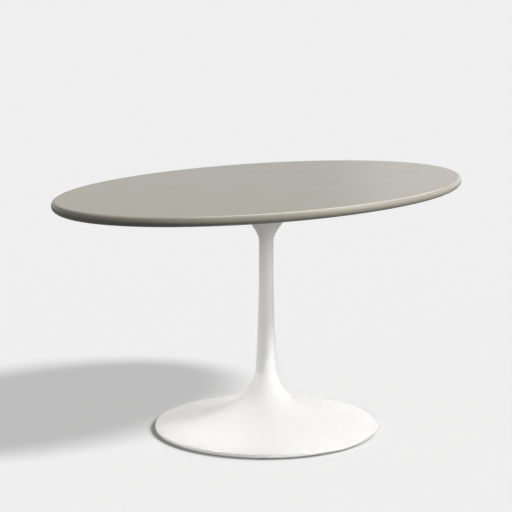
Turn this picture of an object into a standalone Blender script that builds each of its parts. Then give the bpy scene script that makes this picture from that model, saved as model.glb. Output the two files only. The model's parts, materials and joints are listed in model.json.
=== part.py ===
"""Oval pedestal dining table on a trumpet foot, built as the loose pieces it is assembled from.

Metres, +Z up. The origin is on the floor under the column's axis, and the oval top's long axis lies
along X. The parts are stacked on one tie rod: base plate, trumpet shell and core tube, column, flared
head, and the top that is screwed to the head's flange. Four levelling glides carry it.
"""

import math

import bmesh
import bpy
from mathutils import Matrix, Vector

# ---- Driving dimensions, in metres -----------------------------------------------------------------
# Whole table
TABLE_HEIGHT = 0.730
FACE_GAP = 0.0003          # left between faces that touch on the real table

# Flat faces round each turned piece
TOP_SEGMENTS = 80
FOOT_SEGMENTS = 56
HEAD_SEGMENTS = 42
COLUMN_SEGMENTS = 32
TUBE_SEGMENTS = 24
DISC_SEGMENTS = 20
BORE_SEGMENTS = 16
FASTENER_SEGMENTS = 12

# Oval top: a slab with a rounded upper edge, and a lower edge that is tucked in
TOP_LENGTH = 1.414
TOP_WIDTH = 0.883
TOP_THICKNESS = 0.029
TOP_EDGE_INSET = 0.0108
TOP_EDGE_BAND = 0.0006
TOP_TUCK_INSET = 0.0205
TOP_TUCK_HEIGHT = 0.0150

# Base plate and levelling glides
FOOT_DIAMETER = 0.6606
PLATE_THICKNESS = 0.006
PLATE_CHAMFER = 0.0008
GLIDE_COUNT = 4
GLIDE_FIRST_ANGLE = math.radians(45)
GLIDE_RIM_INSET = 0.030
GLIDE_THREAD_DIAMETER = 0.008
GLIDE_STUD_PROUD = 0.0005
PAD_DIAMETER = 0.030
PAD_HEIGHT = 0.0032
PAD_EDGE = 0.0010
PAD_SOLE = 0.0009
PAD_THROAT = 0.0008
PIVOT_DIAMETER = 0.0100
PIVOT_NECK_DIAMETER = 0.0060
GLIDE_HEX_FLATS = 0.013
GLIDE_HEX_HEIGHT = 0.0020
GLIDE_HEX_CLEARANCE = 0.0005

# Trumpet shell: a cubic curve from the neck, which is steep, to the rim, which is nearly flat
SHELL_WALL = 0.0020
SHELL_RIM_ROUND = 0.0015
NECK_HEIGHT = 0.1740
NECK_DIAMETER = 0.0616
NECK_STEEPNESS = math.radians(75.9)
NECK_HANDLE = 0.1664
RIM_SLOPE = math.radians(4.5)
RIM_HANDLE = 0.0406
SHELL_STEPS = 10

# Column: straight at the top, then widening downwards
COLUMN_TOP_DIAMETER = 0.0420
COLUMN_WALL = 0.0040
COLUMN_STRAIGHT = 0.0746
COLUMN_TAPER_POWER = 1.7
COLUMN_STEPS = 7

# Core tube, with the ring that the column stands on
CORE_SPIGOT = 0.040
CORE_CLEARANCE = 0.0005
CORE_WALL = 0.0030
SEAT_RING_HEIGHT = 0.012

# Flared head under the top
HEAD_HEIGHT = 0.1367
HEAD_WALL = 0.0050
HEAD_SPIGOT = 0.018
HEAD_WEB = 0.012
FLANGE_DIAMETER = 0.300
FLANGE_LIP = 0.0062
FLANGE_ROUND = 0.0012
FLANGE_LAND = 0.038
HEAD_NECK_HANDLE = 0.0478
HEAD_FLANGE_SLOPE = math.radians(15.9)
HEAD_FLANGE_HANDLE = 0.0407
HEAD_STEPS = 8

# Tie rod, its boss, washer and nut
ROD_DIAMETER = 0.012
ROD_END_GAP = 0.003
ROD_PROUD = 0.005
ROD_CHAMFER = 0.001
BOSS_HEIGHT = 0.030
BOSS_CLEARANCE = 0.0013
WASHER_DIAMETER = 0.024
WASHER_THICKNESS = 0.0025
NUT_FLATS = 0.019
NUT_HEIGHT = 0.010

# Screws that hold the top, and their inserts
SCREW_COUNT = 6
SCREW_FIRST_ANGLE = math.radians(30)
SCREW_EDGE_DISTANCE = 0.021
SCREW_DIAMETER = 0.006
SCREW_SEAT_DEPTH = 0.0060
SCREW_REACH = 0.0115
SCREW_HEAD_DIAMETER = 0.0120
SCREW_HEAD_HEIGHT = 0.0036
SCREW_HEAD_ROUND = 0.0012
SCREW_DRIVE_DIAMETER = 0.0040
SCREW_DRIVE_DEPTH = 0.0020
SPOT_FACE_DIAMETER = 0.015
INSERT_DIAMETER = 0.010
INSERT_LENGTH = 0.013
INSERT_CHAMFER = 0.0006

# ---- Heights and radii worked out from them --------------------------------------------------------
TOP_UNDERSIDE = TABLE_HEIGHT - TOP_THICKNESS
TOP_EDGE_DROP = TOP_THICKNESS - TOP_TUCK_HEIGHT - TOP_EDGE_BAND
PLATE_BOTTOM = PAD_HEIGHT + FACE_GAP + GLIDE_HEX_HEIGHT + GLIDE_HEX_CLEARANCE
PLATE_TOP = PLATE_BOTTOM + PLATE_THICKNESS
SHELL_BOTTOM = PLATE_TOP + FACE_GAP
RIM_TOP = SHELL_BOTTOM + SHELL_WALL
FLANGE_TOP = TOP_UNDERSIDE - FACE_GAP
HEAD_BOTTOM = TOP_UNDERSIDE - HEAD_HEIGHT
COLUMN_BOTTOM = NECK_HEIGHT + FACE_GAP
COLUMN_TOP = HEAD_BOTTOM - FACE_GAP
WEB_TOP = HEAD_BOTTOM + HEAD_WEB
WASHER_BOTTOM = WEB_TOP + FACE_GAP
NUT_BOTTOM = WASHER_BOTTOM + WASHER_THICKNESS + FACE_GAP
ROD_HOLE_RADIUS = ROD_DIAMETER / 2 + FACE_GAP
GLIDE_CIRCLE_RADIUS = FOOT_DIAMETER / 2 - GLIDE_RIM_INSET
SCREW_CIRCLE_RADIUS = FLANGE_DIAMETER / 2 - SCREW_EDGE_DISTANCE

WHITE_COAT = ((0.86, 0.855, 0.84), 0.35, 0.0)
GREIGE_LACQUER = ((0.44, 0.42, 0.375), 0.30, 0.0)
CAST_ALUMINIUM = ((0.86, 0.855, 0.84), 0.38, 0.0)
ZINC_STEEL = ((0.55, 0.55, 0.56), 0.35, 1.0)
BARE_STEEL = ((0.32, 0.32, 0.33), 0.45, 1.0)
BRASS = ((0.72, 0.53, 0.22), 0.35, 1.0)
BLACK_NYLON = ((0.025, 0.025, 0.027), 0.55, 0.0)


# ---- Tools -----------------------------------------------------------------------------------------
def clear_scene():
    for old in list(bpy.data.objects):
        bpy.data.objects.remove(old, do_unlink=True)


def finish_for(name, look):
    colour, roughness, metallic = look
    material = bpy.data.materials.new(name + "_finish")
    material.use_nodes = True
    shader = material.node_tree.nodes["Principled BSDF"]
    shader.inputs["Base Color"].default_value = (*colour, 1.0)
    shader.inputs["Roughness"].default_value = roughness
    shader.inputs["Metallic"].default_value = metallic
    return material


def add_piece(name, mesh, look=None, parent=None, place=(0, 0, 0)):
    """Put a mesh in the scene as one named piece; without a look it is a cutter."""
    piece = bpy.data.objects.new(name, mesh)
    bpy.context.scene.collection.objects.link(piece)
    piece.parent = parent
    piece.location = place
    if look is None:
        piece.hide_render = True
        piece.display_type = "WIRE"
    else:
        mesh.materials.append(finish_for(name, look))
    return piece


def mesh_from(bm, name, smooth_angle=math.radians(35)):
    bmesh.ops.remove_doubles(bm, verts=bm.verts, dist=1e-6)
    bmesh.ops.recalc_face_normals(bm, faces=bm.faces)
    mesh = bpy.data.meshes.new(name)
    bm.to_mesh(mesh)
    bm.free()
    mesh.shade_smooth()
    mesh.set_sharp_from_angle(angle=smooth_angle)
    return mesh


def turned(name, outline, segments):
    """Turn a closed outline of (radius, height) points once round Z."""
    bm = bmesh.new()
    corners = [bm.verts.new((radius, 0, height)) for radius, height in outline]
    edges = [bm.edges.new(pair) for pair in zip(corners, corners[1:])]
    if outline[0][0] > 0:
        edges.append(bm.edges.new((corners[-1], corners[0])))
    bmesh.ops.spin(bm, geom=corners + edges, cent=(0, 0, 0), axis=(0, 0, 1),
                   angle=math.tau, steps=segments, use_duplicate=False)
    return mesh_from(bm, name)


def add_cylinder(bm, radius, bottom, top, centre=(0, 0), segments=BORE_SEGMENTS):
    place = Matrix.Translation((centre[0], centre[1], (bottom + top) / 2))
    bmesh.ops.create_cone(bm, cap_ends=True, segments=segments, radius1=radius, radius2=radius,
                          depth=top - bottom, matrix=place)


def cut(piece, cutter):
    step = piece.modifiers.new("cut_" + cutter.name, "BOOLEAN")
    step.operation = "DIFFERENCE"
    step.object = cutter


def weld(piece, addition):
    step = piece.modifiers.new("weld_" + addition.name, "BOOLEAN")
    step.operation = "UNION"
    step.object = addition


def polar(radius, angle):
    return (radius * math.cos(angle), radius * math.sin(angle))


def around(count, first_angle):
    return [first_angle + math.tau * step / count for step in range(count)]


def cubic(start, start_handle, end_handle, end, steps):
    """Points and unit tangents, as Vectors of (radius, height), along one cubic curve."""
    points = []
    tangents = []
    for step in range(steps + 1):
        t = step / steps
        s = 1 - t
        points.append(s**3 * start + 3 * s * s * t * start_handle
                      + 3 * s * t * t * end_handle + t**3 * end)
        slope = (s * s * (start_handle - start) + 2 * s * t * (end_handle - start_handle)
                 + t * t * (end - end_handle))
        tangents.append(slope.normalized())
    return points, tangents


def quarter_round(centre, radius, first_angle, last_angle, steps=3):
    points = []
    for step in range(steps + 1):
        angle = first_angle + (last_angle - first_angle) * step / steps
        points.append((centre[0] + radius * math.cos(angle), centre[1] + radius * math.sin(angle)))
    return points


# ---- Oval top and its inserts ----------------------------------------------------------------------
def top_edge_profile():
    """(inset, height) pairs down the edge, from the flat upper face to the flat underside."""
    profile = []
    steps = 4
    for step in range(steps + 1):
        angle = math.pi / 2 * step / steps
        profile.append((TOP_EDGE_INSET * (1 - math.sin(angle)),
                        TABLE_HEIGHT - TOP_EDGE_DROP * (1 - math.cos(angle))))
    for step in range(steps + 1):
        angle = math.pi / 2 * step / steps
        profile.append((TOP_TUCK_INSET * (1 - math.cos(angle)),
                        TOP_UNDERSIDE + TOP_TUCK_HEIGHT * (1 - math.sin(angle))))
    return profile


def oval_ring(bm, inset, height):
    """An oval parallel to the top's outline, moved in by the same distance all round."""
    ring = []
    for step in range(TOP_SEGMENTS):
        angle = math.tau * step / TOP_SEGMENTS
        along = Vector((TOP_LENGTH / 2 * math.cos(angle), TOP_WIDTH / 2 * math.sin(angle), 0))
        outward = Vector((TOP_WIDTH * math.cos(angle), TOP_LENGTH * math.sin(angle), 0)).normalized()
        spot = along - inset * outward
        ring.append(bm.verts.new((spot.x, spot.y, height)))
    return ring


def make_table_top():
    bm = bmesh.new()
    rings = [oval_ring(bm, inset, height) for inset, height in top_edge_profile()]
    for upper, lower in zip(rings, rings[1:]):
        for step in range(TOP_SEGMENTS):
            after = (step + 1) % TOP_SEGMENTS
            bm.faces.new((upper[step], lower[step], lower[after], upper[after]))
    bm.faces.new(rings[0])
    bm.faces.new(reversed(rings[-1]))
    top = add_piece("table_top", mesh_from(bm, "table_top"), GREIGE_LACQUER)

    bm = bmesh.new()
    for angle in around(SCREW_COUNT, SCREW_FIRST_ANGLE):
        add_cylinder(bm, INSERT_DIAMETER / 2 + FACE_GAP, TOP_UNDERSIDE - FACE_GAP,
                     TOP_UNDERSIDE + INSERT_LENGTH + 2 * FACE_GAP,
                     polar(SCREW_CIRCLE_RADIUS, angle))
    cut(top, add_piece("insert_pockets", mesh_from(bm, "insert_pockets")))


def make_top_inserts():
    inner = SCREW_DIAMETER / 2 + FACE_GAP
    outer = INSERT_DIAMETER / 2
    outline = [(inner, 0), (outer, 0), (outer, INSERT_LENGTH - INSERT_CHAMFER),
               (outer - INSERT_CHAMFER, INSERT_LENGTH), (inner, INSERT_LENGTH)]
    for number, angle in enumerate(around(SCREW_COUNT, SCREW_FIRST_ANGLE), 1):
        x, y = polar(SCREW_CIRCLE_RADIUS, angle)
        name = f"top_insert_{number}"
        mesh = turned(name, outline, FASTENER_SEGMENTS)
        add_piece(name, mesh, BRASS, place=(x, y, TOP_UNDERSIDE + FACE_GAP))


def make_top_screws():
    """Pan-head screws with a driven recess; each one's origin is on its seat in the flange."""
    seat = FLANGE_TOP - SCREW_SEAT_DEPTH
    head = SCREW_HEAD_DIAMETER / 2
    shank = SCREW_DIAMETER / 2
    recess = SCREW_DRIVE_DIAMETER / 2
    bottom = -FACE_GAP - SCREW_HEAD_HEIGHT
    reach = SCREW_SEAT_DEPTH + FACE_GAP + SCREW_REACH
    recess_floor = bottom + SCREW_DRIVE_DEPTH
    outline = [(0, recess_floor), (recess, recess_floor), (recess, bottom)]
    outline += quarter_round((head - SCREW_HEAD_ROUND, bottom + SCREW_HEAD_ROUND), SCREW_HEAD_ROUND,
                             -math.pi / 2, 0, steps=2)
    outline += [(head, -FACE_GAP), (shank, -FACE_GAP), (shank, reach), (0, reach)]
    for number, angle in enumerate(around(SCREW_COUNT, SCREW_FIRST_ANGLE), 1):
        x, y = polar(SCREW_CIRCLE_RADIUS, angle)
        name = f"top_screw_{number}"
        add_piece(name, turned(name, outline, FASTENER_SEGMENTS), ZINC_STEEL, place=(x, y, seat))


# ---- Flared head -----------------------------------------------------------------------------------
def head_curve():
    flange = FLANGE_DIAMETER / 2
    start = Vector((COLUMN_TOP_DIAMETER / 2, HEAD_BOTTOM))
    end = Vector((flange - FLANGE_ROUND, FLANGE_TOP - FLANGE_LIP))
    start_handle = start + HEAD_NECK_HANDLE * Vector((0, 1))
    slope = Vector((math.cos(HEAD_FLANGE_SLOPE), math.sin(HEAD_FLANGE_SLOPE)))
    return cubic(start, start_handle, end - HEAD_FLANGE_HANDLE * slope, end, HEAD_STEPS)


def make_column_head():
    points, tangents = head_curve()
    flange = FLANGE_DIAMETER / 2
    land = flange - FLANGE_LAND
    inner = []
    for point, tangent in zip(points, tangents):
        wall_point = point + HEAD_WALL * Vector((-tangent.y, tangent.x))
        if wall_point.y > WEB_TOP and wall_point.x < land:
            inner.append((wall_point.x, wall_point.y))
    bore = COLUMN_TOP_DIAMETER / 2 - COLUMN_WALL
    spigot = bore - FACE_GAP
    spigot_bottom = HEAD_BOTTOM - HEAD_SPIGOT
    outline = [(ROD_HOLE_RADIUS, spigot_bottom), (spigot, spigot_bottom), (spigot, HEAD_BOTTOM)]
    outline += [(point.x, point.y) for point in points]
    outline += quarter_round((flange - FLANGE_ROUND, FLANGE_TOP - FLANGE_LIP + FLANGE_ROUND),
                             FLANGE_ROUND, -math.pi / 2, 0)[1:]
    outline += [(flange, FLANGE_TOP), (land, FLANGE_TOP)]
    outline += [(land, inner[-1][1] + (land - inner[-1][0]))]
    outline += reversed(inner)
    outline += [(inner[0][0], WEB_TOP), (ROD_HOLE_RADIUS, WEB_TOP)]
    head = add_piece("column_head", turned("column_head", outline, HEAD_SEGMENTS), CAST_ALUMINIUM)

    seat = FLANGE_TOP - SCREW_SEAT_DEPTH
    below = FLANGE_TOP - HEAD_HEIGHT / 2
    bm = bmesh.new()
    for angle in around(SCREW_COUNT, SCREW_FIRST_ANGLE):
        add_cylinder(bm, SPOT_FACE_DIAMETER / 2, below, seat, polar(SCREW_CIRCLE_RADIUS, angle))
    cut(head, add_piece("spot_faces", mesh_from(bm, "spot_faces")))
    bm = bmesh.new()
    for angle in around(SCREW_COUNT, SCREW_FIRST_ANGLE):
        add_cylinder(bm, SCREW_DIAMETER / 2 + FACE_GAP, below, TOP_UNDERSIDE + FACE_GAP,
                     polar(SCREW_CIRCLE_RADIUS, angle))
    cut(head, add_piece("screw_holes", mesh_from(bm, "screw_holes")))


# ---- Column ----------------------------------------------------------------------------------------
def column_radius(height):
    """Outside radius: straight under the head, then widening to the neck's by a power law."""
    taper_top = COLUMN_TOP - COLUMN_STRAIGHT
    share = max(0.0, (taper_top - height) / (taper_top - COLUMN_BOTTOM))
    widening = (NECK_DIAMETER - COLUMN_TOP_DIAMETER) / 2
    return COLUMN_TOP_DIAMETER / 2 + widening * share ** COLUMN_TAPER_POWER


def make_column():
    taper_top = COLUMN_TOP - COLUMN_STRAIGHT
    heights = [COLUMN_BOTTOM + (taper_top - COLUMN_BOTTOM) * step / COLUMN_STEPS
               for step in range(COLUMN_STEPS + 1)]
    heights.append(COLUMN_TOP)
    outline = [(column_radius(height), height) for height in heights]
    outline += [(radius - COLUMN_WALL, height) for radius, height in reversed(outline)]
    add_piece("column", turned("column", outline, COLUMN_SEGMENTS), WHITE_COAT)


# ---- Trumpet shell, core tube and seat ring --------------------------------------------------------
def shell_curve():
    rim = FOOT_DIAMETER / 2
    start = Vector((NECK_DIAMETER / 2, NECK_HEIGHT))
    end = Vector((rim - SHELL_RIM_ROUND, RIM_TOP))
    down = Vector((math.cos(NECK_STEEPNESS), -math.sin(NECK_STEEPNESS)))
    out = Vector((math.cos(RIM_SLOPE), -math.sin(RIM_SLOPE)))
    return cubic(start, start + NECK_HANDLE * down, end - RIM_HANDLE * out, end, SHELL_STEPS)


def make_foot_shell():
    points, tangents = shell_curve()
    rim = FOOT_DIAMETER / 2
    outline = [(point.x, point.y) for point in points]
    outline += reversed(quarter_round((rim - SHELL_RIM_ROUND, RIM_TOP - SHELL_RIM_ROUND),
                                      SHELL_RIM_ROUND, 0, math.pi / 2)[:-1])
    outline += [(rim, SHELL_BOTTOM)]
    inner = []
    for point, tangent in zip(points, tangents):
        wall_point = point + SHELL_WALL * Vector((tangent.y, -tangent.x))
        inner.append((wall_point.x, max(wall_point.y, SHELL_BOTTOM)))
    inner[0] = (NECK_DIAMETER / 2 - SHELL_WALL, NECK_HEIGHT)
    outline += reversed(inner)
    add_piece("foot_shell", turned("foot_shell", outline, FOOT_SEGMENTS), WHITE_COAT)


def core_radius():
    """The core tube is a spigot: it fits the column's bore at the spigot's upper end."""
    return column_radius(COLUMN_BOTTOM + CORE_SPIGOT) - COLUMN_WALL - CORE_CLEARANCE


def make_core_tube():
    outer = core_radius()
    inner = outer - CORE_WALL
    top = COLUMN_BOTTOM + CORE_SPIGOT
    outline = [(inner, SHELL_BOTTOM), (outer, SHELL_BOTTOM), (outer, top), (inner, top)]
    add_piece("core_tube", turned("core_tube", outline, TUBE_SEGMENTS), BARE_STEEL)


def make_seat_ring():
    inner = core_radius() + FACE_GAP
    outer = NECK_DIAMETER / 2 - SHELL_WALL - FACE_GAP
    bottom = NECK_HEIGHT - SEAT_RING_HEIGHT
    outline = [(inner, bottom), (outer, bottom), (outer, NECK_HEIGHT), (inner, NECK_HEIGHT)]
    add_piece("seat_ring", turned("seat_ring", outline, TUBE_SEGMENTS), BARE_STEEL)


# ---- Base plate and tie rod ------------------------------------------------------------------------
def make_base_plate():
    rim = FOOT_DIAMETER / 2
    outline = [(0, PLATE_BOTTOM), (rim - PLATE_CHAMFER, PLATE_BOTTOM),
               (rim, PLATE_BOTTOM + PLATE_CHAMFER), (rim, PLATE_TOP), (0, PLATE_TOP)]
    plate = add_piece("base_plate", turned("base_plate", outline, FOOT_SEGMENTS), WHITE_COAT)
    bm = bmesh.new()
    for angle in around(GLIDE_COUNT, GLIDE_FIRST_ANGLE):
        add_cylinder(bm, GLIDE_THREAD_DIAMETER / 2 + FACE_GAP, 0, PLATE_TOP + PLATE_BOTTOM,
                     polar(GLIDE_CIRCLE_RADIUS, angle))
    cut(plate, add_piece("glide_holes", mesh_from(bm, "glide_holes")))


def make_rod_boss():
    outer = core_radius() - CORE_WALL - BOSS_CLEARANCE
    top = SHELL_BOTTOM + BOSS_HEIGHT
    outline = [(ROD_HOLE_RADIUS, SHELL_BOTTOM), (outer, SHELL_BOTTOM), (outer, top),
               (ROD_HOLE_RADIUS, top)]
    add_piece("rod_boss", turned("rod_boss", outline, DISC_SEGMENTS), BARE_STEEL)


def make_tie_rod():
    radius = ROD_DIAMETER / 2
    bottom = SHELL_BOTTOM + ROD_END_GAP
    top = NUT_BOTTOM + NUT_HEIGHT + ROD_PROUD
    outline = [(0, bottom), (radius - ROD_CHAMFER, bottom), (radius, bottom + ROD_CHAMFER),
               (radius, top - ROD_CHAMFER), (radius - ROD_CHAMFER, top), (0, top)]
    add_piece("tie_rod", turned("tie_rod", outline, FASTENER_SEGMENTS), ZINC_STEEL)


def make_head_washer():
    outer = WASHER_DIAMETER / 2
    outline = [(ROD_HOLE_RADIUS, 0), (outer, 0), (outer, WASHER_THICKNESS),
               (ROD_HOLE_RADIUS, WASHER_THICKNESS)]
    washer = turned("head_washer", outline, DISC_SEGMENTS)
    add_piece("head_washer", washer, ZINC_STEEL, place=(0, 0, WASHER_BOTTOM))


def make_head_nut():
    bm = bmesh.new()
    add_cylinder(bm, NUT_FLATS / math.sqrt(3), 0, NUT_HEIGHT, segments=6)
    nut = add_piece("head_nut", mesh_from(bm, "head_nut"), ZINC_STEEL, place=(0, 0, NUT_BOTTOM))
    bm = bmesh.new()
    add_cylinder(bm, ROD_HOLE_RADIUS, NUT_BOTTOM - NUT_HEIGHT, NUT_BOTTOM + 2 * NUT_HEIGHT)
    cut(nut, add_piece("nut_bore", mesh_from(bm, "nut_bore")))


# ---- Levelling glides ------------------------------------------------------------------------------
def pad_outline():
    """A nylon disc with an undercut pocket, in which the stud's pivot turns."""
    radius = PAD_DIAMETER / 2
    pocket = PIVOT_DIAMETER / 2 + FACE_GAP
    throat = PIVOT_NECK_DIAMETER / 2 + FACE_GAP
    pocket_top = PAD_HEIGHT - PAD_THROAT
    return [(0, 0), (radius - PAD_EDGE / 2, 0), (radius, PAD_EDGE / 2), (radius, PAD_HEIGHT - PAD_EDGE),
            (radius - PAD_EDGE, PAD_HEIGHT), (throat, PAD_HEIGHT), (throat, pocket_top),
            (pocket, pocket_top), (pocket, PAD_SOLE), (0, PAD_SOLE)]


def stud_outline():
    """Pivot button, neck, and the threaded stud that the base plate holds."""
    pivot = PIVOT_DIAMETER / 2
    neck = PIVOT_NECK_DIAMETER / 2
    thread = GLIDE_THREAD_DIAMETER / 2
    pivot_bottom = PAD_SOLE + FACE_GAP
    pivot_top = PAD_HEIGHT - PAD_THROAT - FACE_GAP
    hex_top = PAD_HEIGHT + FACE_GAP + GLIDE_HEX_HEIGHT
    stud_top = PLATE_TOP + GLIDE_STUD_PROUD
    return [(0, pivot_bottom), (pivot, pivot_bottom), (pivot, pivot_top), (neck, pivot_top),
            (neck, hex_top - GLIDE_HEX_HEIGHT / 2), (thread, hex_top - GLIDE_HEX_HEIGHT / 2),
            (thread, stud_top), (0, stud_top)]


def make_glide(number, angle):
    """One glide: the axis empty stands at the pad's centre on the floor."""
    x, y = polar(GLIDE_CIRCLE_RADIUS, angle)
    axis = bpy.data.objects.new(f"glide_axis_{number}", None)
    bpy.context.scene.collection.objects.link(axis)
    axis.location = (x, y, 0)

    pad_name = f"glide_pad_{number}"
    add_piece(pad_name, turned(pad_name, pad_outline(), DISC_SEGMENTS), BLACK_NYLON, parent=axis)

    stud_name = f"glide_stud_{number}"
    stud_mesh = turned(stud_name, stud_outline(), FASTENER_SEGMENTS)
    stud = add_piece(stud_name, stud_mesh, ZINC_STEEL, parent=axis)
    bm = bmesh.new()
    hex_bottom = PAD_HEIGHT + FACE_GAP
    hex_top = hex_bottom + GLIDE_HEX_HEIGHT
    add_cylinder(bm, GLIDE_HEX_FLATS / math.sqrt(3), hex_bottom, hex_top, segments=6)
    flats = add_piece(f"glide_hex_{number}", mesh_from(bm, f"glide_hex_{number}"), parent=axis)
    weld(stud, flats)


# ---- The table, from the floor up ------------------------------------------------------------------
clear_scene()
for glide_number, glide_angle in enumerate(around(GLIDE_COUNT, GLIDE_FIRST_ANGLE), 1):
    make_glide(glide_number, glide_angle)
make_base_plate()
make_rod_boss()
make_core_tube()
make_seat_ring()
make_foot_shell()
make_column()
make_column_head()
make_tie_rod()
make_head_washer()
make_head_nut()
make_top_screws()
make_top_inserts()
make_table_top()
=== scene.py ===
"""The look of an oval pedestal table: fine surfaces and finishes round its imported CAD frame.

The table is followed as it is put together: from the base plate up to the top, with the screws and the
levelling glides last. Metres, +Z up; the origin is on the floor under the column, and the oval top's
long axis lies along X.
"""

import json
import math

import bmesh
import bpy
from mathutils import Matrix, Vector

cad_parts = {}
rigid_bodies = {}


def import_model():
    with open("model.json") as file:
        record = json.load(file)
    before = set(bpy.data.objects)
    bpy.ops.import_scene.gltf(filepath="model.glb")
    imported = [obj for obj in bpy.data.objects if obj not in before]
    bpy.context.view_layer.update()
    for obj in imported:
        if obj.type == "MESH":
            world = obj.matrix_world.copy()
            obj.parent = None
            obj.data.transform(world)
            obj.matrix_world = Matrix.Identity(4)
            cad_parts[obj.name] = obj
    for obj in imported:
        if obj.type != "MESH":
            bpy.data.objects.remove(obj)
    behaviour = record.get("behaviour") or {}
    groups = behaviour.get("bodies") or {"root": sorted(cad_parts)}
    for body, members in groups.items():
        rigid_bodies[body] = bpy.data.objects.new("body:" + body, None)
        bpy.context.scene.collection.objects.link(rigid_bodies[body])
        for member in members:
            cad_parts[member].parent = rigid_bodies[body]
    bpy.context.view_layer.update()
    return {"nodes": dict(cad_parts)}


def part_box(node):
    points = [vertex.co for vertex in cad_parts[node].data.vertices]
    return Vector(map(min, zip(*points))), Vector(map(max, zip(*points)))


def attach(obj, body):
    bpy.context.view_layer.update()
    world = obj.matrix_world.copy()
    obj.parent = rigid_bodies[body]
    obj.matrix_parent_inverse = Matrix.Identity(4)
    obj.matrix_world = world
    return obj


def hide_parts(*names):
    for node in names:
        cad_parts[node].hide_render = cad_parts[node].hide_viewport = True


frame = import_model()


# ---- Base plate ------------------------------------------------------------------------------------
# A 6 mm steel disc that closes the foot from below and carries the table on its four glides. It is cut
# to a circle, chamfered underneath, drilled for the glides and powder-coated white with the foot.
PLATE_CHAMFER = 0.0008
PLATE_CORNER = 0.0004
FOOT_SEGMENTS = 192
GLIDE_HOLE_RADIUS = 0.0043
GLIDE_COUNT = 4
HOLE_SEGMENTS = 32
SMOOTH_ANGLE = math.radians(30)
START_SIZE = 0.001

plate_low, plate_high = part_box("base_plate")
foot_radius = plate_high.x


def start_piece(name):
    """Leave only the new primitive selected, named, and open in edit mode."""
    piece = bpy.context.object
    piece.name = name
    piece.data.name = name
    bpy.ops.object.mode_set(mode="EDIT")
    return piece


def close_piece():
    """Merge what meets, turn the faces outwards and shade the piece smooth but for its sharp edges."""
    bpy.ops.mesh.select_all(action="SELECT")
    bpy.ops.mesh.remove_doubles(threshold=1e-6)
    bpy.ops.mesh.normals_make_consistent(inside=False)
    bpy.ops.object.mode_set(mode="OBJECT")
    bpy.ops.object.shade_smooth_by_angle(angle=SMOOTH_ANGLE)


def turned(name, outline, segments):
    """Extrude one point along a closed outline of (radius, height) and spin the outline round Z."""
    bpy.ops.object.select_all(action="DESELECT")
    bpy.ops.mesh.primitive_plane_add(size=START_SIZE)
    piece = start_piece(name)
    bpy.ops.mesh.merge(type="CENTER")
    bpy.ops.transform.translate(value=(outline[0][0], 0, outline[0][1]))
    for (radius, height), (next_radius, next_height) in zip(outline, outline[1:]):
        step = (next_radius - radius, 0, next_height - height)
        bpy.ops.mesh.extrude_region_move(TRANSFORM_OT_translate={"value": step})
    if outline[0][0] > 0:
        drawn = bmesh.from_edit_mesh(piece.data)
        for corner in drawn.verts:
            corner.select = len(corner.link_edges) == 1
        drawn.select_flush_mode()
        bmesh.update_edit_mesh(piece.data)
        bpy.ops.mesh.edge_face_add()
    bpy.ops.mesh.select_all(action="SELECT")
    bpy.ops.mesh.spin(steps=segments, angle=math.tau, center=(0, 0, 0), axis=(0, 0, 1))
    close_piece()
    return piece


def arc(centre, radius, first_angle, last_angle, steps=6):
    """Points of (radius, height) along part of a circle, with its angles in degrees from outwards."""
    points = []
    for step in range(steps + 1):
        angle = math.radians(first_angle + (last_angle - first_angle) * step / steps)
        points.append((centre[0] + radius * math.cos(angle), centre[1] + radius * math.sin(angle)))
    return points


def drill(piece, places, radius, bottom, top, segments=HOLE_SEGMENTS):
    """Cut upright round holes, or pockets, with a Boolean modifier that is then applied."""
    bits = []
    for x, y in places:
        bpy.ops.object.select_all(action="DESELECT")
        bpy.ops.mesh.primitive_cylinder_add(vertices=segments, radius=radius, depth=top - bottom,
                                            location=(x, y, (bottom + top) / 2))
        bits.append(bpy.context.object)
    for bit in bits:
        bit.select_set(True)
    bpy.ops.object.join()
    cutter = bpy.context.object
    subtract(piece, cutter)


def subtract(piece, cutter):
    """Take the cutter's shape out of the piece, then throw the cutter away."""
    bpy.ops.object.select_all(action="DESELECT")
    piece.select_set(True)
    bpy.context.view_layer.objects.active = piece
    cut = piece.modifiers.new("cut", "BOOLEAN")
    cut.operation = "DIFFERENCE"
    cut.object = cutter
    bpy.ops.object.modifier_apply(modifier=cut.name)
    bpy.data.objects.remove(cutter)
    bpy.ops.object.shade_smooth_by_angle(angle=SMOOTH_ANGLE)


def middle(node):
    """The (x, y) of a CAD node's middle."""
    low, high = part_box(node)
    return (low.x + high.x) / 2, (low.y + high.y) / 2


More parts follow.
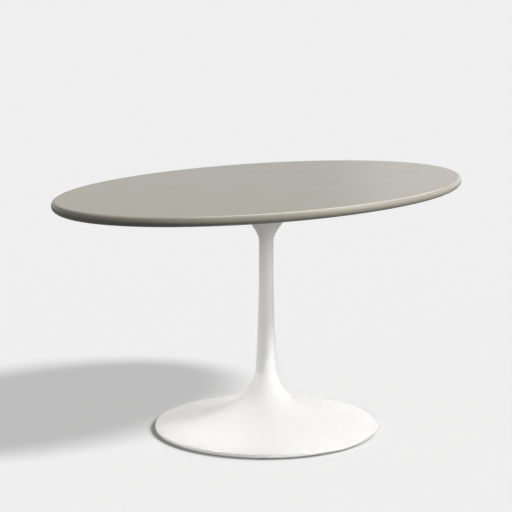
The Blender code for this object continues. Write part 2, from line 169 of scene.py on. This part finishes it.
class Shade:
    """A socket in a material's node tree: operators on it add Math nodes."""

    def __init__(self, tree, socket=None):
        self.tree = tree
        self.socket = socket

    def node(self, kind, settings=None, inputs=None, output=0):
        """Add a node of any kind: its settings first, then the values or links of its sockets."""
        added = self.tree.nodes.new(kind)
        for name, setting in (settings or {}).items():
            if name == "stops":
                self.set_stops(added.color_ramp.elements, setting)
            else:
                setattr(added, name, setting)
        for name, value in (inputs or {}).items():
            if isinstance(value, Shade):
                self.tree.links.new(value.socket, added.inputs[name])
            else:
                added.inputs[name].default_value = value
        return Shade(self.tree, added.outputs[output])

    def set_stops(self, elements, stops):
        """Give a ramp its stops: places from 0 to 1, each with a grey value or a colour."""
        while len(elements) < len(stops):
            elements.new(1.0)
        for element, (place, tone) in zip(elements, stops):
            element.position = place
            element.color = (*tone, 1) if isinstance(tone, tuple) else (tone, tone, tone, 1)

    def maths(self, operation, first, second):
        return self.node("ShaderNodeMath", {"operation": operation}, {0: first, 1: second})

    def __add__(self, other):
        return self.maths("ADD", self, other)

    def __sub__(self, other):
        return self.maths("SUBTRACT", self, other)

    def __mul__(self, other):
        return self.maths("MULTIPLY", self, other)

    def __rsub__(self, other):
        return self.maths("SUBTRACT", other, self)

    __radd__ = __add__
    __rmul__ = __mul__


def new_finish(name, roughness, metallic=0.0):
    """A material, its Principled shader, and its Object coordinates."""
    material = bpy.data.materials.new(name)
    material.use_nodes = True
    shader = material.node_tree.nodes["Principled BSDF"]
    shader.inputs["Roughness"].default_value = roughness
    shader.inputs["Metallic"].default_value = metallic
    place = Shade(material.node_tree).node("ShaderNodeTexCoord", output="Object")
    return material, shader, place


def noise(place, size, detail=2.0, roughness=0.5):
    """Noise from 0 to 1 whose blotches are about as wide as size, in metres."""
    return place.node("ShaderNodeTexNoise", None,
                      {"Vector": place, "Scale": 1 / size, "Detail": detail, "Roughness": roughness})


def blend_colours(amount, first, second):
    settings = {"data_type": "RGBA", "blend_type": "MIX"}
    return amount.node("ShaderNodeMix", settings, {0: amount, 6: (*first, 1), 7: (*second, 1)}, 2)


def feed(shader, socket, shade):
    shade.tree.links.new(shade.socket, shader.inputs[socket])


def raise_surface(shader, height, depth, strength=1.0):
    """Bump the surface by a height from 0 to 1 that stands for depth, in metres."""
    bump = height.node("ShaderNodeBump", None, {"Height": height, "Distance": depth, "Strength": strength})
    feed(shader, "Normal", bump)


def white_coat():
    """Satin white powder coat: a faint orange peel, and a colour that drifts by a hair."""
    material, shader, place = new_finish("white_powder_coat", 0.33)
    drift = noise(place, 0.18, detail=1.0)
    feed(shader, "Base Color", blend_colours(drift, (0.83, 0.82, 0.805), (0.85, 0.842, 0.83)))
    peel = noise(place, 0.0035, detail=1.5)
    feed(shader, "Roughness", 0.30 + 0.05 * noise(place, 0.03))
    raise_surface(shader, peel, 0.00003)
    return material


powder_coat = white_coat()

base_plate = turned("base_plate_disc", [
    (0, plate_low.z),
    (foot_radius - PLATE_CHAMFER, plate_low.z),
    (foot_radius, plate_low.z + PLATE_CHAMFER),
    *arc((foot_radius - PLATE_CORNER, plate_high.z - PLATE_CORNER), PLATE_CORNER, 0, 90, steps=3),
    (0, plate_high.z),
], FOOT_SEGMENTS)
glide_places = [middle(f"glide_stud_{number}") for number in range(1, GLIDE_COUNT + 1)]
drill(base_plate, glide_places, GLIDE_HOLE_RADIUS, 0, 2 * plate_high.z)
base_plate.data.materials.append(powder_coat)
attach(base_plate, "table")
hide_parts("base_plate")


# ---- Tie rod, boss and core tube -------------------------------------------------------------------
# A boss welded to the base plate holds the zinc-plated tie rod, which clamps the whole stand together.
# Round it stands the core tube with the ring that the column rests on, both left as bare steel.
def bare_steel():
    """Drawn steel: fine lines along its length, and a bluish mill bloom."""
    material, shader, place = new_finish("bare_drawn_steel", 0.42, metallic=1.0)
    stretched = place.node("ShaderNodeMapping", None, {"Vector": place, "Scale": (1, 1, 0.04)})
    lines = noise(stretched, 0.0006, detail=3.0)
    bloom = noise(place, 0.02)
    feed(shader, "Base Color", blend_colours(bloom, (0.30, 0.30, 0.31), (0.38, 0.375, 0.37)))
    feed(shader, "Roughness", 0.34 + 0.16 * lines)
    raise_surface(shader, lines, 0.00001)
    return material


def zinc_plate():
    """Bright zinc: crystals of slightly different grey, with a dulled sheen."""
    material, shader, place = new_finish("bright_zinc", 0.32, metallic=1.0)
    crystals = place.node("ShaderNodeTexVoronoi", None, {"Vector": place, "Scale": 900.0}, "Distance")
    feed(shader, "Base Color", blend_colours(crystals, (0.62, 0.62, 0.63), (0.50, 0.51, 0.53)))
    feed(shader, "Roughness", 0.26 + 0.12 * noise(place, 0.002))
    return material


steel = bare_steel()
zinc = zinc_plate()
for node in ("rod_boss", "core_tube", "seat_ring"):
    frame["nodes"][node].material_slots[0].material = steel
for node in ("tie_rod", "head_washer", "head_nut"):
    frame["nodes"][node].material_slots[0].material = zinc


# ---- Trumpet foot ----------------------------------------------------------------------------------
# One spun shell of 2 mm steel: steep at its neck, then sweeping out almost flat to a small rounded rim.
# It is powder-coated white and stands on the edge of the base plate.
SHELL_WALL = 0.0020
RIM_ROUND = 0.0015
SEAM = 0.00005
NECK_STEEPNESS = math.radians(75.9)
NECK_HANDLE = 0.1664
RIM_SLOPE = math.radians(4.5)
RIM_HANDLE = 0.0406
SHELL_STEPS = 72

shell_low, shell_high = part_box("foot_shell")
neck_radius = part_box("column")[1].x
rim_top = shell_low.z + SHELL_WALL


def curve(start, start_handle, end_handle, end, steps):
    """Points and unit tangents, as Vectors of (radius, height), along one cubic curve."""
    points = []
    tangents = []
    for step in range(steps + 1):
        t = step / steps
        s = 1 - t
        points.append(s**3 * start + 3 * s * s * t * start_handle
                      + 3 * s * t * t * end_handle + t**3 * end)
        slope = (s * s * (start_handle - start) + 2 * s * t * (end_handle - start_handle)
                 + t * t * (end - end_handle))
        tangents.append(slope.normalized())
    return points, tangents


neck = Vector((neck_radius, shell_high.z))
rim = Vector((foot_radius - RIM_ROUND, rim_top))
neck_direction = Vector((math.cos(NECK_STEEPNESS), -math.sin(NECK_STEEPNESS)))
rim_direction = Vector((math.cos(RIM_SLOPE), -math.sin(RIM_SLOPE)))
skin, skin_tangents = curve(neck, neck + NECK_HANDLE * neck_direction,
                            rim - RIM_HANDLE * rim_direction, rim, SHELL_STEPS)
shell_bottom = plate_high.z + SEAM
inside = []
for point, tangent in zip(skin, skin_tangents):
    wall_point = point + SHELL_WALL * Vector((tangent.y, -tangent.x))
    inside.append((wall_point.x, max(wall_point.y, shell_bottom)))
inside[0] = (neck_radius - SHELL_WALL, shell_high.z)
foot = turned("trumpet_foot", [
    *[(point.x, point.y) for point in skin],
    *arc((foot_radius - RIM_ROUND, rim_top - RIM_ROUND), RIM_ROUND, 90, 0)[1:],
    (foot_radius, shell_bottom),
    *reversed(inside),
], FOOT_SEGMENTS)
foot.data.materials.append(powder_coat)
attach(foot, "table")
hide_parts("foot_shell")


# ---- Column ----------------------------------------------------------------------------------------
# A tapered steel tube, straight under the head and widening towards the foot, where it stands on the
# seat ring. Its ends are machined flat, so only hairlines show where it meets the head and the foot.
COLUMN_WALL = 0.0040
COLUMN_TOP_RADIUS = 0.0210
COLUMN_STRAIGHT = 0.0746
TAPER_POWER = 1.7
COLUMN_STEPS = 40
COLUMN_SEGMENTS = 128

column_low, column_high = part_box("column")
head_low, head_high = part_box("column_head")
taper_top = column_high.z - COLUMN_STRAIGHT
column_outside = []
for step in range(COLUMN_STEPS + 1):
    share = 1 - step / COLUMN_STEPS
    height = taper_top - (taper_top - column_low.z) * share
    radius = COLUMN_TOP_RADIUS + (neck_radius - COLUMN_TOP_RADIUS) * share ** TAPER_POWER
    column_outside.append((radius, height))
column_outside[0] = (neck_radius, shell_high.z + SEAM)
head_seam = column_high.z + (column_low.z - shell_high.z) - SEAM
column_outside.append((COLUMN_TOP_RADIUS, head_seam))
column_inside = [(radius - COLUMN_WALL, height) for radius, height in reversed(column_outside)]
column = turned("tapered_column", column_outside + column_inside, COLUMN_SEGMENTS)
column.data.materials.append(powder_coat)
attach(column, "table")
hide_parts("column")


# ---- Flared head -----------------------------------------------------------------------------------
# An aluminium casting that plugs into the column and flares out to a 300 mm flange under the top. Its
# underside is spot-faced for six screws, and it is coated white over the fine grain of the casting.
HEAD_WALL = 0.0050
HEAD_WEB = 0.012
HEAD_SPIGOT = 0.018
SPIGOT_CLEARANCE = 0.0003
ROD_HOLE_RADIUS = 0.0063
FLANGE_LIP = 0.0062
FLANGE_ROUND = 0.0012
FLANGE_LAND = 0.038
HEAD_NECK_HANDLE = 0.0478
HEAD_FLANGE_SLOPE = math.radians(15.9)
HEAD_FLANGE_HANDLE = 0.0407
HEAD_STEPS = 48
HEAD_SEGMENTS = 144
SPOT_FACE_RADIUS = 0.0075
SCREW_HOLE_RADIUS = 0.0033
SCREW_COUNT = 6
SCREW_SEAT_DEPTH = 0.0060

flange_radius = head_high.x
flange_top = head_high.z
head_bottom = head_low.z + HEAD_SPIGOT
land = flange_radius - FLANGE_LAND
spigot_radius = COLUMN_TOP_RADIUS - COLUMN_WALL - SPIGOT_CLEARANCE
head_start = Vector((COLUMN_TOP_RADIUS, head_bottom))
head_end = Vector((flange_radius - FLANGE_ROUND, flange_top - FLANGE_LIP))
flange_direction = Vector((math.cos(HEAD_FLANGE_SLOPE), math.sin(HEAD_FLANGE_SLOPE)))
flare, flare_tangents = curve(head_start, head_start + Vector((0, HEAD_NECK_HANDLE)),
                              head_end - HEAD_FLANGE_HANDLE * flange_direction, head_end, HEAD_STEPS)
hollow = []
for point, tangent in zip(flare, flare_tangents):
    wall_point = point + HEAD_WALL * Vector((-tangent.y, tangent.x))
    if wall_point.y > head_bottom + HEAD_WEB and wall_point.x < land:
        hollow.append((wall_point.x, wall_point.y))
head = turned("flared_head", [
    (ROD_HOLE_RADIUS, head_low.z),
    (spigot_radius, head_low.z),
    (spigot_radius, head_bottom),
    *[(point.x, point.y) for point in flare],
    *arc((flange_radius - FLANGE_ROUND, flange_top - FLANGE_LIP + FLANGE_ROUND), FLANGE_ROUND, -90, 0)[1:],
    (flange_radius, flange_top),
    (land, flange_top),
    (land, hollow[-1][1] + land - hollow[-1][0]),
    *reversed(hollow),
    (hollow[0][0], head_bottom + HEAD_WEB),
    (ROD_HOLE_RADIUS, head_bottom + HEAD_WEB),
], HEAD_SEGMENTS)
screw_places = [middle(f"top_screw_{number}") for number in range(1, SCREW_COUNT + 1)]
drill(head, screw_places, SPOT_FACE_RADIUS, head_bottom, flange_top - SCREW_SEAT_DEPTH)
drill(head, screw_places, SCREW_HOLE_RADIUS, head_bottom, flange_top + SCREW_SEAT_DEPTH)


def cast_coat():
    """White coat over a sand casting: coarser than on the steel, with a soft grain."""
    material, shader, place = new_finish("coated_casting", 0.36)
    drift = noise(place, 0.06, detail=1.0)
    feed(shader, "Base Color", blend_colours(drift, (0.82, 0.812, 0.80), (0.84, 0.833, 0.822)))
    grain = noise(place, 0.0016, detail=3.0)
    feed(shader, "Roughness", 0.33 + 0.06 * grain)
    raise_surface(shader, grain, 0.00003)
    return material


head.data.materials.append(cast_coat())
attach(head, "table")
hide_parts("column_head")


# ---- Oval top --------------------------------------------------------------------------------------
# One slab of fibreboard, 29 mm thick, sprayed all over with a satin greige lacquer. Its upper edge is
# rounded over, and its lower edge is tucked in so that it looks thin. Six pockets hold the inserts.
EDGE_INSET = 0.0108
EDGE_DROP = 0.0134
TUCK_INSET = 0.0205
TUCK_HEIGHT = 0.0150
TOP_SEGMENTS = 320
EDGE_STEPS = 10
FLAT_MARGIN = 0.002
POCKET_RADIUS = 0.0053
POCKET_DEPTH = 0.0136

top_low, top_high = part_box("table_top")


def round_over(steps, inset, rise):
    """Inset the selected face again and again, so that its edge becomes a quarter of an ellipse."""
    for step in range(steps):
        before = math.pi / 2 * step / steps
        after = math.pi / 2 * (step + 1) / steps
        bpy.ops.mesh.inset(thickness=inset * (math.cos(before) - math.cos(after)),
                           depth=rise * (math.sin(after) - math.sin(before)))
    bpy.ops.mesh.inset(thickness=FLAT_MARGIN, depth=0)


def pick_face(piece, upwards):
    """Select the one flat face at the piece's top, or at its bottom."""
    drawn = bmesh.from_edit_mesh(piece.data)
    for face in drawn.faces:
        face.select = len(face.verts) > 4 and (face.normal.z > 0) == upwards
    bmesh.update_edit_mesh(piece.data)


edge_low = top_low.z + TUCK_HEIGHT
edge_high = top_high.z - EDGE_DROP
bpy.ops.object.select_all(action="DESELECT")
bpy.ops.mesh.primitive_cylinder_add(vertices=TOP_SEGMENTS, radius=1, depth=edge_high - edge_low)
table_top = start_piece("oval_top")
bpy.ops.transform.resize(value=(top_high.x, top_high.y, 1))
bpy.ops.transform.translate(value=(0, 0, (edge_low + edge_high) / 2))
pick_face(table_top, upwards=True)
round_over(EDGE_STEPS, EDGE_INSET, EDGE_DROP)
pick_face(table_top, upwards=False)
round_over(EDGE_STEPS, TUCK_INSET, TUCK_HEIGHT)
close_piece()
drill(table_top, screw_places, POCKET_RADIUS, top_low.z - POCKET_DEPTH, top_low.z + POCKET_DEPTH)


def greige_lacquer():
    """Sprayed satin lacquer: a warm grey that drifts a little, with a fine orange peel."""
    material, shader, place = new_finish("greige_satin_lacquer", 0.24)
    drift = noise(place, 0.35, detail=2.0)
    feed(shader, "Base Color", blend_colours(drift, (0.165, 0.155, 0.127), (0.175, 0.165, 0.136)))
    peel = noise(place, 0.004, detail=1.5)
    feed(shader, "Roughness", 0.22 + 0.04 * noise(place, 0.12, detail=4.0))
    raise_surface(shader, peel, 0.00002)
    return material


table_top.data.materials.append(greige_lacquer())
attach(table_top, "table")
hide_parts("table_top")


# ---- Inserts and screws ----------------------------------------------------------------------------
# Six brass inserts are pressed into the top's pockets, and six zinc-plated pan-head screws with
# hexagon sockets come up through the head's flange into them.
SCREW_HEAD_RADIUS = 0.0060
SCREW_HEAD_HEIGHT = 0.0036
SCREW_CROWN = 0.0016
SCREW_RADIUS = 0.0030
SCREW_TIP = SCREW_RADIUS / 4
SCREW_GAP = 0.0003
SOCKET_RADIUS = 0.0023
SOCKET_DEPTH = 0.0022
SOCKET_SIDES = 6
SCREW_SEGMENTS = 48


def turned_brass():
    """Turned brass: fine rings left by the tool."""
    material, shader, place = new_finish("turned_brass", 0.30, metallic=1.0)
    squeezed = place.node("ShaderNodeMapping", None, {"Vector": place, "Scale": (0.02, 0.02, 1)})
    rings = noise(squeezed, 0.0004, detail=2.0)
    feed(shader, "Base Color", blend_colours(rings, (0.70, 0.50, 0.20), (0.76, 0.57, 0.27)))
    feed(shader, "Roughness", 0.24 + 0.12 * rings)
    return material


brass = turned_brass()
for number in range(1, SCREW_COUNT + 1):
    frame["nodes"][f"top_insert_{number}"].material_slots[0].material = brass

screw_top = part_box("top_screw_1")[1].z
seat = flange_top - SCREW_SEAT_DEPTH - SCREW_GAP
crown_bottom = seat - SCREW_HEAD_HEIGHT
first_screw = turned("top_screw_fine_1", [
    (0, crown_bottom),
    (SCREW_HEAD_RADIUS - SCREW_CROWN, crown_bottom),
    *arc((SCREW_HEAD_RADIUS - SCREW_CROWN, crown_bottom + SCREW_CROWN), SCREW_CROWN, -90, 0)[1:],
    (SCREW_HEAD_RADIUS, seat),
    (SCREW_RADIUS, seat),
    (SCREW_RADIUS, screw_top - SCREW_TIP),
    (SCREW_RADIUS - SCREW_TIP, screw_top),
    (0, screw_top),
], SCREW_SEGMENTS)
drill(first_screw, [(0, 0)], SOCKET_RADIUS, crown_bottom - SOCKET_DEPTH, crown_bottom + SOCKET_DEPTH,
      SOCKET_SIDES)
for number, (x, y) in enumerate(screw_places, 1):
    screw = first_screw
    if number > 1:
        screw = first_screw.copy()
        screw.data = first_screw.data.copy()
        screw.name = screw.data.name = f"top_screw_fine_{number}"
        bpy.context.collection.objects.link(screw)
    screw.location = (x, y, 0)
for number in range(1, SCREW_COUNT + 1):
    screw = bpy.data.objects[f"top_screw_fine_{number}"]
    bpy.ops.object.select_all(action="DESELECT")
    screw.select_set(True)
    bpy.context.view_layer.objects.active = screw
    bpy.ops.object.transform_apply()
    screw.data.materials.append(zinc)
    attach(screw, "table")
    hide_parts(f"top_screw_{number}")


# ---- Levelling glides ------------------------------------------------------------------------------
# Four nylon pads stand on the floor. In each one turns a zinc-plated stud with a hexagon, and the stud
# screws into the base plate, so that turning it lowers or lifts its corner of the foot.
PAD_EDGE = 0.0010
PAD_THROAT = 0.0008
PAD_SOLE = 0.0009
PIVOT_POCKET_RADIUS = 0.0053
THROAT_RADIUS = 0.0033
PAD_SEGMENTS = 64


def moulded_nylon():
    """Black nylon with the fine spark-eroded grain of its mould."""
    material, shader, place = new_finish("black_moulded_nylon", 0.55)
    grain = noise(place, 0.0005, detail=2.0)
    feed(shader, "Base Color", blend_colours(grain, (0.020, 0.020, 0.022), (0.032, 0.032, 0.034)))
    feed(shader, "Roughness", 0.48 + 0.14 * grain)
    raise_surface(shader, grain, 0.00002)
    return material


nylon = moulded_nylon()
for number in range(1, GLIDE_COUNT + 1):
    pad_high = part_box(f"glide_pad_{number}")[1]
    x, y = middle(f"glide_pad_{number}")
    pad_radius = pad_high.x - x
    pad = turned(f"glide_pad_fine_{number}", [
        (0, 0),
        *arc((pad_radius - PAD_EDGE / 2, PAD_EDGE / 2), PAD_EDGE / 2, -90, 0, steps=4),
        *arc((pad_radius - PAD_EDGE, pad_high.z - PAD_EDGE), PAD_EDGE, 0, 90, steps=5),
        (THROAT_RADIUS, pad_high.z),
        (THROAT_RADIUS, pad_high.z - PAD_THROAT),
        (PIVOT_POCKET_RADIUS, pad_high.z - PAD_THROAT),
        (PIVOT_POCKET_RADIUS, PAD_SOLE),
        (0, PAD_SOLE),
    ], PAD_SEGMENTS)
    pad.location = (x, y, 0)
    bpy.ops.object.transform_apply()
    pad.data.materials.append(nylon)
    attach(pad, f"glide_{number}")
    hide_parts(f"glide_pad_{number}")
    frame["nodes"][f"glide_stud_{number}"].material_slots[0].material = zinc


# ---- Studio ----------------------------------------------------------------------------------------
# A plain pale floor that glows a little, less under the foot and just beyond its rim, where the dimmer
# glow is a painted contact shadow, below a sky that is bright at the horizon.
# A key light from the right casts the shadow, and softboxes light the top apart from the white parts.
FLOOR_SIZE = 400.0
FLOOR_WHITE = 0.76
FLOOR_GLOW = 0.40
# Painted contact shadow on the floor: where its dimmed ring round the foot is centred (a little towards
# the camera's left), how far it reaches beyond the rim, and how much glow is left at the rim
PAINTED_SHADOW_CENTRE = (-0.0072, 0.0069, 0)
PAINTED_SHADOW_WIDTH = 0.014
PAINTED_SHADOW_GLOW = 0.15
SKY_BELOW = 0.23
SKY_AT_HORIZON = 0.87
SKY_ABOVE_HORIZON = 0.58
SKY_OVERHEAD = 0.10
# Places in the sky's ramp, where 0 is straight down, 0.5 the horizon and 1 straight up
BELOW_ENDS = 0.48
HORIZON_BEGINS = 0.497
HAZE_ENDS = 0.56
OVERHEAD_BEGINS = 0.75
LIGHT_DISTANCE = 3

CAMERA_TURN = math.radians(44.032)
CAMERA_DISTANCE = 5.0696
CAMERA_HEIGHT = 1.4560
CAMERA_PITCH = math.radians(10.451)
CAMERA_HEADING = math.radians(43.694)
CAMERA_LENS = 123.49

bpy.ops.object.select_all(action="DESELECT")
bpy.ops.mesh.primitive_plane_add(size=FLOOR_SIZE)
floor = bpy.context.object
floor.name = "studio_floor"
floor_paint, floor_shader, floor_place = new_finish("studio_floor_paint", 0.9)
floor_shader.inputs["Base Color"].default_value = (FLOOR_WHITE, FLOOR_WHITE, FLOOR_WHITE, 1)
floor_shader.inputs["Specular IOR Level"].default_value = 0.0
floor_shader.inputs["Emission Color"].default_value = (1, 1, 1, 1)
# Painted contact shadow: the floor's glow is dimmed under the foot and rises back to full a short way
# beyond the rim
across = floor_place.node("ShaderNodeVectorMath", {"operation": "DISTANCE"},
                          {0: floor_place, 1: PAINTED_SHADOW_CENTRE}, "Value")
painted_shadow_ramp = across.node("ShaderNodeValToRGB", {"stops": [(0.0, PAINTED_SHADOW_GLOW), (1.0, 1.0)]},
                         {"Fac": (across - foot_radius) * (1 / PAINTED_SHADOW_WIDTH)})
feed(floor_shader, "Emission Strength", FLOOR_GLOW * painted_shadow_ramp)
floor.data.materials.append(floor_paint)

floor.visible_diffuse = False
floor.visible_glossy = False

sky = bpy.data.worlds.new("studio_sky")
sky.use_nodes = True
direction = Shade(sky.node_tree).node("ShaderNodeTexCoord", output="Generated")
height = direction.node("ShaderNodeSeparateXYZ", None, {"Vector": direction}, "Z")
brightness = height.node("ShaderNodeValToRGB", {"stops": [
    (BELOW_ENDS, SKY_BELOW), (HORIZON_BEGINS, SKY_AT_HORIZON),
    (HAZE_ENDS, SKY_ABOVE_HORIZON), (OVERHEAD_BEGINS, SKY_OVERHEAD)]},
    {"Fac": 0.5 + 0.5 * height})
background = sky.node_tree.nodes["Background"]
background.inputs["Color"].default_value = (1, 1, 1, 1)
feed(background, "Strength", brightness)
bpy.context.scene.world = sky


def soft_light(name, azimuth, elevation, width, strength):
    """A distant light: where it stands and how wide it is in degrees, and how strong it is."""
    azimuth, elevation = math.radians(azimuth), math.radians(elevation)
    towards = Vector((math.cos(azimuth) * math.cos(elevation),
                      math.sin(azimuth) * math.cos(elevation), math.sin(elevation)))
    bpy.ops.object.light_add(type="SUN", location=LIGHT_DISTANCE * towards,
                             rotation=towards.to_track_quat("Z", "Y").to_euler())
    light = bpy.context.object
    light.name = name
    light.data.energy = strength
    light.data.angle = math.radians(width)
    return light


top_alone = bpy.data.collections.new("oval_top_alone")
top_alone.objects.link(table_top)
all_but_top = bpy.data.collections.new("all_but_the_top")
for piece in bpy.data.objects:
    if piece.type == "MESH" and piece not in (floor, table_top):
        all_but_top.objects.link(piece)

key_light = soft_light("key_light", azimuth=-64.1, elevation=44.1, width=9.4, strength=2.08)
key_light.visible_glossy = False

# The sides as seen from the camera, in degrees from +X, and the heights above the horizon
RIGHT = -44
FRONT_RIGHT = RIGHT - 45
BACK_RIGHT = RIGHT + 45
BEHIND_RIGHT = RIGHT + 70
BEHIND = RIGHT + 90
BACK_LEFT = RIGHT + 135
LEFT = RIGHT + 180
GRAZING = 9
LOW = 14
MIDDLE = 38
HIGH = 62
FILL_HEIGHT = 60
SOFTBOX_WIDTH = 34

white_part_softboxes = [(LEFT, LOW, 1.4), (FRONT_RIGHT, LOW, 1.55), (BACK_LEFT, MIDDLE, 0.8),
                        (BEHIND, MIDDLE, 0.5), (BACK_RIGHT, HIGH, 1.25)]
top_softboxes = [(BACK_RIGHT, HIGH, 1.4), (BEHIND, HIGH, 0.65), (LEFT, HIGH, 0.3), (RIGHT, MIDDLE, 0.75),
                 (BACK_RIGHT, MIDDLE, 0.65), (BEHIND_RIGHT, GRAZING, 0.07)]
top_fills = [(RIGHT, LOW, 5.4), (FRONT_RIGHT, FILL_HEIGHT, 1.4)]
for name, places, receivers, shows_in_gloss in [("softbox", white_part_softboxes, all_but_top, True),
                                                ("top_softbox", top_softboxes, top_alone, True),
                                                ("top_fill", top_fills, top_alone, False)]:
    for azimuth, elevation, strength in places:
        softbox = soft_light(name, azimuth, elevation, SOFTBOX_WIDTH, strength)
        softbox.visible_glossy = shows_in_gloss
        softbox.light_linking.receiver_collection = receivers

bpy.ops.object.camera_add(
    location=(-CAMERA_DISTANCE * math.sin(CAMERA_TURN), -CAMERA_DISTANCE * math.cos(CAMERA_TURN),
              CAMERA_HEIGHT),
    rotation=(math.pi / 2 - CAMERA_PITCH, 0, -CAMERA_HEADING))
camera = bpy.context.object
camera.data.lens = CAMERA_LENS
camera.data.clip_end = FLOOR_SIZE
bpy.context.scene.camera = camera
bpy.context.scene.view_settings.view_transform = "Standard"
